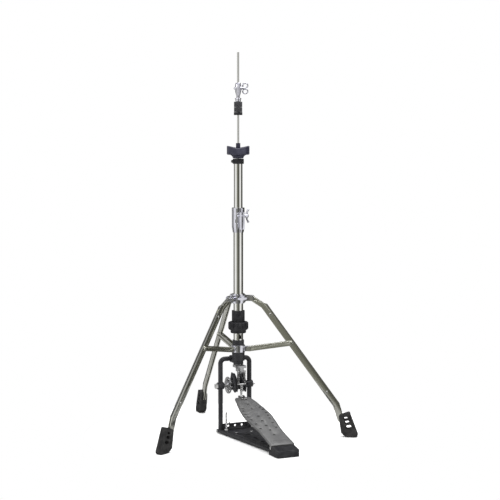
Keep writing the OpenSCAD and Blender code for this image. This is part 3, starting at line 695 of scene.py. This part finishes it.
def board_half_width(d):
    """Half width of the board at d mm down from the toe, between the CAD outline's points."""
    stations = (
        (0, 20), (3.1, 24), (17.8, 27), (33.5, 31), (70, 38), (106.6, 42), (122.3, 42),
        (154.7, 39.5), (189.2, 35.5), (219.5, 34), (254, 34.5), (286.4, 36),
    )
    for (d0, w0), (d1, w1) in zip(stations, stations[1:]):
        if d <= d1:
            return w0 + (w1 - w0) * (d - d0) / (d1 - d0)
    return stations[-1][1]


def board_point(x, d, h):
    """A point x mm across, d mm down the board and h mm above its top."""
    return BOARD_FRAME @ Vector((x * MM, -d * MM, h * MM))


CENTRE_HOLES = (70, 98, 141, 167.5, 194, 220.5, 247)
EDGE_HOLES = ((92, 27), (106, 31), (124, 33), (140.5, 31.5), (157, 28.8), (182, 26), (209, 24.5))
SLOPE = math.cos(math.atan2(83.5, 274))


def make_footboard():
    softened("footboard", 0.7)
    # Rolled bead along both edges
    bead = bmesh.new()
    for side in (-1, 1):
        points = []
        for i in range(61):
            d = 5 + (BOARD_LEN / MM - 9) * i / 60
            points.append(board_point(side * (board_half_width(d) - 2.0), d, 0.1))
        swept(bead, points, [0.9 * MM] * len(points), sides=10)
    link_mesh("board_edge_bead", bead, "pedal", "board_alloy", sharp=60)
    # Countersunk rims round the holes
    rims = bmesh.new()
    holes = [(0, u) for u in CENTRE_HOLES] + [(s * v, u) for u, v in EDGE_HOLES for s in (-1, 1)]
    for x, u in holes:
        d = (u - 28) / SLOPE
        points = []
        for i in range(20):
            a = 2 * math.pi * i / 20
            points.append(board_point(x + 3.9 * math.cos(a), d + 3.9 * math.sin(a), 0.0))
        swept(rims, points, [0.55 * MM] * 20, closed=True, sides=8)
    link_mesh("board_hole_rims", rims, "pedal", "board_alloy", sharp=60)
    # Short raised grip bars on the upper third, and a cross rib near the heel
    grip = bmesh.new()
    for row in range(6):
        d = 32 + row * 6.4
        for column in range(-2, 3):
            x = column * 9.5 + (4.7 if row % 2 else 0)
            if abs(x) + 5 < board_half_width(d) - 5 and abs(x) > 1:
                swept(grip, [board_point(x - 3.2, d + 0.8, 0.1), board_point(x, d, 0.1),
                             board_point(x + 3.2, d + 0.8, 0.1)], [0.55 * MM, 0.8 * MM, 0.55 * MM], sides=8)
    for d in (262, 268, 274):
        swept(grip, [board_point(-27, d, 0.05), board_point(27, d, 0.05)], [0.7 * MM] * 2, sides=8)
    link_mesh("board_grip_bars", grip, "pedal", "board_alloy", sharp=60)
    # Ribs under the board
    ribs = bmesh.new()
    for x in (-16, 16):
        rib = [(x - 1.2, -30), (x + 1.2, -30), (x + 1.2, -252), (x - 1.2, -252)]
        slab(ribs, rib, -9.0, -4.9, BOARD_FRAME)
    for d in (60, 120, 180, 240):
        slab(ribs, [(-15, -d - 1), (15, -d - 1), (15, -d + 1), (-15, -d + 1)], -8.0, -4.9, BOARD_FRAME)
    link_mesh("board_under_ribs", ribs, "pedal", "board_alloy")
    # Screws of the chain saddle
    screws = bmesh.new()
    for x in (-5.4, 5.4):
        button(screws, BOARD_UP, board_point(x, 13, 2.4), 2.0, 1.4)
    link_mesh("saddle_screws", screws, "pedal", "steel_fastener")


def make_base():
    softened("base_plate", 0.8)
    softened("heel_block", 1.6, segments=3)
    softened("toe_bracket", 0.6)
    softened("base_bolts", 0.4)
    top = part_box("base_plate")[1].z / MM
    ribs = bmesh.new()
    for side in (-1, 1):
        points = []
        for i in range(21):
            t = i / 20
            points.append(Vector((side * (44 - 26 * t), 6 - 250 * t, top + 0.2)) * MM)
        swept(ribs, points, [1.5 * MM] * 21, sides=10)
    for y, half in ((-55, 26), (-95, 23), (-145, 19), (-195, 15)):
        swept(ribs, [Vector((-half, y, top)) * MM, Vector((half, y, top)) * MM], [1.2 * MM] * 2, sides=10)
    link_mesh("base_pressed_ribs", ribs, "stand", "black_enamel", sharp=60)
    rims = bmesh.new()
    for y in (-70, -120, -170, -220):
        points = [Vector((7 * math.cos(a), y + 7 * math.sin(a), top + 0.1)) * MM
                  for a in (2 * math.pi * i / 24 for i in range(24))]
        swept(rims, points, [0.9 * MM] * 24, closed=True, sides=8)
    link_mesh("base_hole_rims", rims, "stand", "black_enamel", sharp=60)


# ---- Tripod ----

def make_tripod():
    for side in LEG_SIDES:
        softened("leg_" + side, 0.5)
        softened("brace_" + side, 0.5)
        softened("foot_" + side, 1.6, segments=3)
        make_foot_details(side)
        make_rivets(side)
    softened("upper_hub", 1.3, segments=3)
    softened("lower_hub", 1.1, segments=3)


def bearing_of(side):
    """Unit vector out along a leg, and the one across it, from the leg's hinge."""
    across = Vector(JOINTS[side + "_leg_fold"]["axis"])
    return Vector((across.y, -across.x, 0)), across


def make_foot_details(side):
    """Ridges across the sole and a raised band round the foot's neck."""
    out, across = bearing_of(side)
    ridges = bmesh.new()
    for i in range(5):
        r = 318 + i * 7
        a = out * (r * MM) + across * (-9 * MM)
        b = out * (r * MM) + across * (9 * MM)
        z = (1.5 + 0.02 * (r - 318)) * MM
        swept(ridges, [a + Vector((0, 0, z)), b + Vector((0, 0, z))], [1.2 * MM] * 2, sides=10)
    for lateral in (-1, 1):
        points = []
        for i in range(9):
            t = i / 8
            r = 306 + 40 * t
            points.append(out * (r * MM) + across * (lateral * 10 * MM) + Vector((0, 0, (12 - 4 * t) * MM)))
        swept(ridges, points, [0.8 * MM] * 9, sides=8)
    link_mesh("foot_ridges_" + side, ridges, side + "_leg", "rubber", sharp=60)


def make_rivets(side):
    out, across = bearing_of(side)
    spots = ((95, 357), (262, 131))
    shape = bmesh.new()
    for r, z in spots:
        for lateral in (-1, 1):
            at = out * (r * MM) + across * (lateral * 4.3 * MM) + Vector((0, 0, z * MM))
            button(shape, across * lateral, at, 3.6, 1.5)
    link_mesh("spacer_rivets_" + side, shape, side + "_leg", "steel_fastener")
    shape = bmesh.new()
    for lateral in (-1, 1):
        at = out * (156.8 * MM) + across * (lateral * 7.0 * MM) + Vector((0, 0, 273 * MM))
        button(shape, across * lateral, at, 4.4, 1.4)
    link_mesh("brace_rivets_" + side, shape, side + "_brace", "steel_fastener")


def make_frame_details():
    softened("frame_casting", 1.0, segments=3)
    softened("height_clamp", 0.9, segments=3)
    softened("tension_housing", 0.8)
    softened("stop_collar", 0.8)
    softened("bearing_housings", 1.0)
    softened("cam_wheel", 0.5)
    softened("cam_plate", 0.6)
    softened("yoke", 0.9)
    softened("chain_anchor", 0.5)
    softened("seat_neck", 0.8)
    # Rivets round the cam's flanges
    shape = bmesh.new()
    for side in (-1, 1):
        for degrees in (-8, 24, 60):
            a = math.radians(degrees)
            at = AXLE + Vector((side * 18.6, -22 * math.cos(a), 22 * math.sin(a))) * MM
            button(shape, (side, 0, 0), at, 2.0, 1.2)
    link_mesh("cam_rivets", shape, "cam", "steel_fastener")


def make_spring():
    """Return spring: it rides the rod."""
    shape = bmesh.new()
    shape.from_mesh(nodes["return_spring"].data)
    bmesh.ops.remove_doubles(shape, verts=shape.verts, dist=2e-6)
    spring = link_mesh("return_spring_coils", shape, "pull_rod", "steel_fastener", sharp=60)
    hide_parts("return_spring")
    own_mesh(spring)


def make_seat_washer():
    """Thin washer on the neck, under the seat and clear of it over the seat's tilt."""
    washer = bmesh.new()
    capped(washer, turned(washer, [(9, 810.5), (9, 811.0)], segments=64))
    link_mesh("seat_washer", washer, "upper_column", "black_nylon")


def make_spur():
    """Threaded spur beside the left post, kept on the base plate."""
    low, high = 10, 66
    shape = bmesh.new()
    profile = [(1.2, low)]
    turns = int((high - low - 4) / 1.6)
    for i in range(turns):
        h = low + i * 1.6
        profile += [(2.3, h + 0.2), (3.0, h + 0.8)]
    profile += [(2.2, high - 3), (0.4, high)]
    place = Matrix.Translation((-37 * MM, 4 * MM, 0))
    capped(shape, turned(shape, profile, place, 20))
    capped(shape, turned(shape, [(5.4, low), (5.4, low + 4.4), (5.0, low + 5)], place, 6))
    link_mesh("base_spur", shape, "stand", "steel_fastener")


make_camera()
make_studio()
make_lamp("overhead_light", (0.3, -0.4, 3.4), 3.2, 120)
make_lamp("front_light", (-2.8, -2.6, 2.2), 1.6, 22)
make_floor()
paint_nodes()
make_seat()
make_clutch()
make_wing_screw()
make_clamp_bolt()
make_knob()
make_chain()
make_footboard()
make_base()
make_tripod()
make_frame_details()
make_spring()
make_seat_washer()
make_spur()
